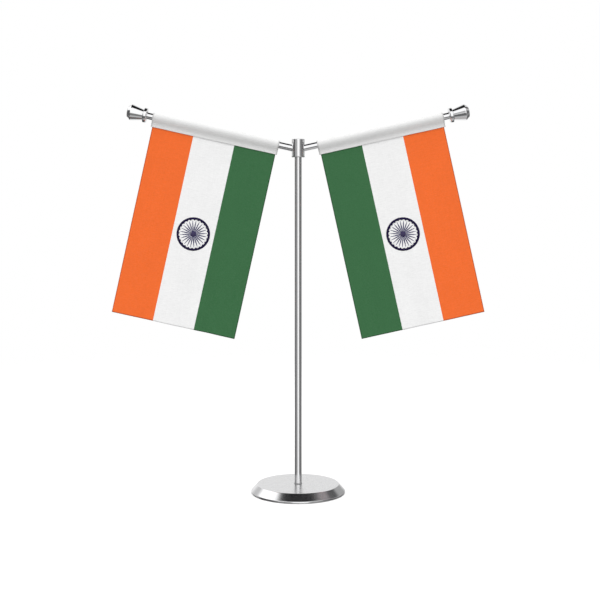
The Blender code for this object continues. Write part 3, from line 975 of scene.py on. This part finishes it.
# What polished metal sees: (name, azimuth, half width, elevation, half height, softness, colour).
# Angles are in degrees, and azimuth runs from the front, positive to the right. The panels were
# tuned until the front view's reflections looked like the photograph's.
REFLECTED = (
    ("behind_left", -135, 47, 0, 44, 8, (0.56, 0.56, 0.56)),
    ("behind_right", 135, 47, 0, 36, 8, (0.38, 0.38, 0.38)),
    ("behind_middle", -174, 25, 14, 40, 8, (0.86, 0.86, 0.86)),
    ("left_grey", -56, 42, -15, 29, 4, (0.40, 0.40, 0.40)),
    ("left_dark", -82, 27, 0, 26, 9, (0.10, 0.10, 0.102)),
    ("right_grey", 67, 41, -15, 29, 4, (0.26, 0.26, 0.26)),
    ("right_dark", 76, 15, 0, 26, 6, (0.12, 0.12, 0.122)),
    ("low_left", -50, 50, -38, 21, 3, (0.13, 0.13, 0.132)),
    ("low_right", 50, 50, -38, 21, 3, (0.38, 0.38, 0.38)),
    ("low_middle", 20, 26, -38, 14, 4, (0.20, 0.20, 0.20)),
    ("below_left", -90, 90, -90, 36, 6, (0.14, 0.14, 0.145)),
    ("below_right", 90, 90, -90, 36, 6, (0.46, 0.46, 0.46)),
    ("low_glow", 0, 60, -62, 6, 4, (0.50, 0.50, 0.50)),
    ("under_left", -122, 38, -40, 25, 4, (0.02, 0.02, 0.02)),
    ("under_right", 122, 38, -40, 25, 4, (0.02, 0.02, 0.02)),
    ("upper_right", 92, 24, 50, 16, 5, (0.28, 0.26, 0.265)),
    ("far_right", 117, 12, 37, 12, 5, (0.09, 0.09, 0.092)),
    ("softbox", -112, 26, 43, 15, 5, (1.25, 1.25, 1.25)),
    ("zenith_back", 180, 60, 70, 17, 4, (0.05, 0.05, 0.05)),
    ("zenith", 0, 181, 90, 33, 3, (0.015, 0.015, 0.016)),
)
OPEN_WHITE = (1.09, 1.09, 1.09, 1.0)
DIFFUSE_UP = 1.62
DIFFUSE_LEVEL = 1.20
DIFFUSE_DOWN = 0.02


def make_world():
    """Soft light all round. Metal sees dark flats and a softbox, and the camera sees white."""
    world = bpy.data.worlds.new("studio")
    bpy.context.scene.world = world
    world.use_nodes = True
    world.node_tree.nodes.clear()
    tree = Tree(world.node_tree)
    where = tree.node("ShaderNodeTexCoord").outputs["Generated"]
    split = tree.node("ShaderNodeSeparateXYZ", {0: where})
    x, y, z = (split.outputs[k] for k in "XYZ")
    azimuth = tree.math("DEGREES", tree.math("ARCTAN2", x, tree.math("MULTIPLY", y, -1.0)))
    elevation = tree.math("DEGREES", tree.math("ARCSINE", z))
    seen = OPEN_WHITE
    for _, across, half_width, up, half_height, soft, colour in REFLECTED:
        turned_away = tree.math("WRAP", tree.math("SUBTRACT", azimuth, across), 180.0, -180.0)
        aside = tree.math("ABSOLUTE", turned_away)
        above = tree.math("ABSOLUTE", tree.math("SUBTRACT", elevation, up))
        inside = tree.math(
            "MULTIPLY",
            tree.spread(aside, 1.0, 0.0, half_width - soft, half_width + soft, smooth=True),
            tree.spread(above, 1.0, 0.0, half_height - soft, half_height + soft, smooth=True),
        )
        seen = tree.mix(inside, seen, (*colour, 1.0))
    upper = tree.spread(z, DIFFUSE_LEVEL, DIFFUSE_UP)
    lower = tree.spread(z, DIFFUSE_DOWN, DIFFUSE_LEVEL, -1.0, 0.0)
    level = tree.math("MULTIPLY", tree.math("MULTIPLY", upper, lower), 1 / DIFFUSE_LEVEL)
    soft_light = tree.node("ShaderNodeCombineXYZ", {0: level, 1: level, 2: level}).outputs[0]
    path = tree.node("ShaderNodeLightPath")
    lit = tree.mix(path.outputs["Is Diffuse Ray"], seen, soft_light)
    shown = tree.mix(path.outputs["Is Camera Ray"], lit, (1.0, 1.0, 1.0, 1.0))
    background = tree.node("ShaderNodeBackground", {"Color": shown, "Strength": 1.0})
    output = tree.node("ShaderNodeOutputWorld")
    tree.put(output.inputs["Surface"], background.outputs[0])
    world.cycles.sampling_method = "NONE"


def make_floor():
    """A pale round floor that fades out into the white surroundings."""
    bm = bmesh.new()
    rings = [[bm.verts.new((0.0, 0.0, 0.0))]]
    sides = 96
    for radius in FLOOR_RADII:
        angles = [2 * math.pi * k / sides for k in range(sides)]
        rings.append([bm.verts.new((radius * math.cos(a), radius * math.sin(a), 0.0)) for a in angles])
    for near, far in zip(rings, rings[1:]):
        bridge(bm, near, far, sides)
    made, tree, shader, where = new_material("floor")
    reach = tree.node("ShaderNodeVectorMath", {0: where}, operation="LENGTH").outputs["Value"]
    grain = tree.noise(where, (400.0, 400.0, 400.0))
    tone = tree.spread(grain, 0.985, 1.0)
    tree.put(shader.inputs["Base Color"], tree.scaled((0.90, 0.90, 0.90, 1.0), tone))
    shader.inputs["Roughness"].default_value = 0.9
    shader.inputs["Specular IOR Level"].default_value = 0.0
    tree.put(shader.inputs["Alpha"], tree.spread(reach, 1.0, 0.0, *FLOOR_FADE, smooth=True))
    floor = new_piece("floor", bm, [made])
    floor.visible_glossy = False
    floor.visible_diffuse = False


def make_camera():
    data = bpy.data.cameras.new("camera")
    data.lens = CAMERA_LENS
    data.sensor_width = 36.0
    data.shift_x, data.shift_y = CAMERA_SHIFT
    data.clip_start = 0.01
    camera = bpy.data.objects.new("camera", data)
    camera.location = CAMERA_PLACE
    camera.rotation_euler = (math.pi / 2 - CAMERA_PITCH, 0.0, 0.0)
    bpy.context.scene.collection.objects.link(camera)
    bpy.context.scene.camera = camera
    bpy.context.scene.view_settings.view_transform = "Standard"


def finish_cad_nodes():
    """The CAD nodes that show as they are, each with its own finish."""
    finishes = {
        "base_pad": FOAM,
        "base_weight": CAST_IRON,
        "base_washer": ZINC,
        "base_bolt": ZINC,
    }
    for name, finish in finishes.items():
        node = frame["nodes"][name]
        for slot in node.material_slots:
            slot.material = finish


make_world()
make_floor()
make_camera()
make_base()
make_pole()
make_hub()
make_set_screw()
for arm_side in SIDES:
    make_arm(arm_side)
make_flag("left", 0.4)
make_flag("right", 2.2)
finish_cad_nodes()
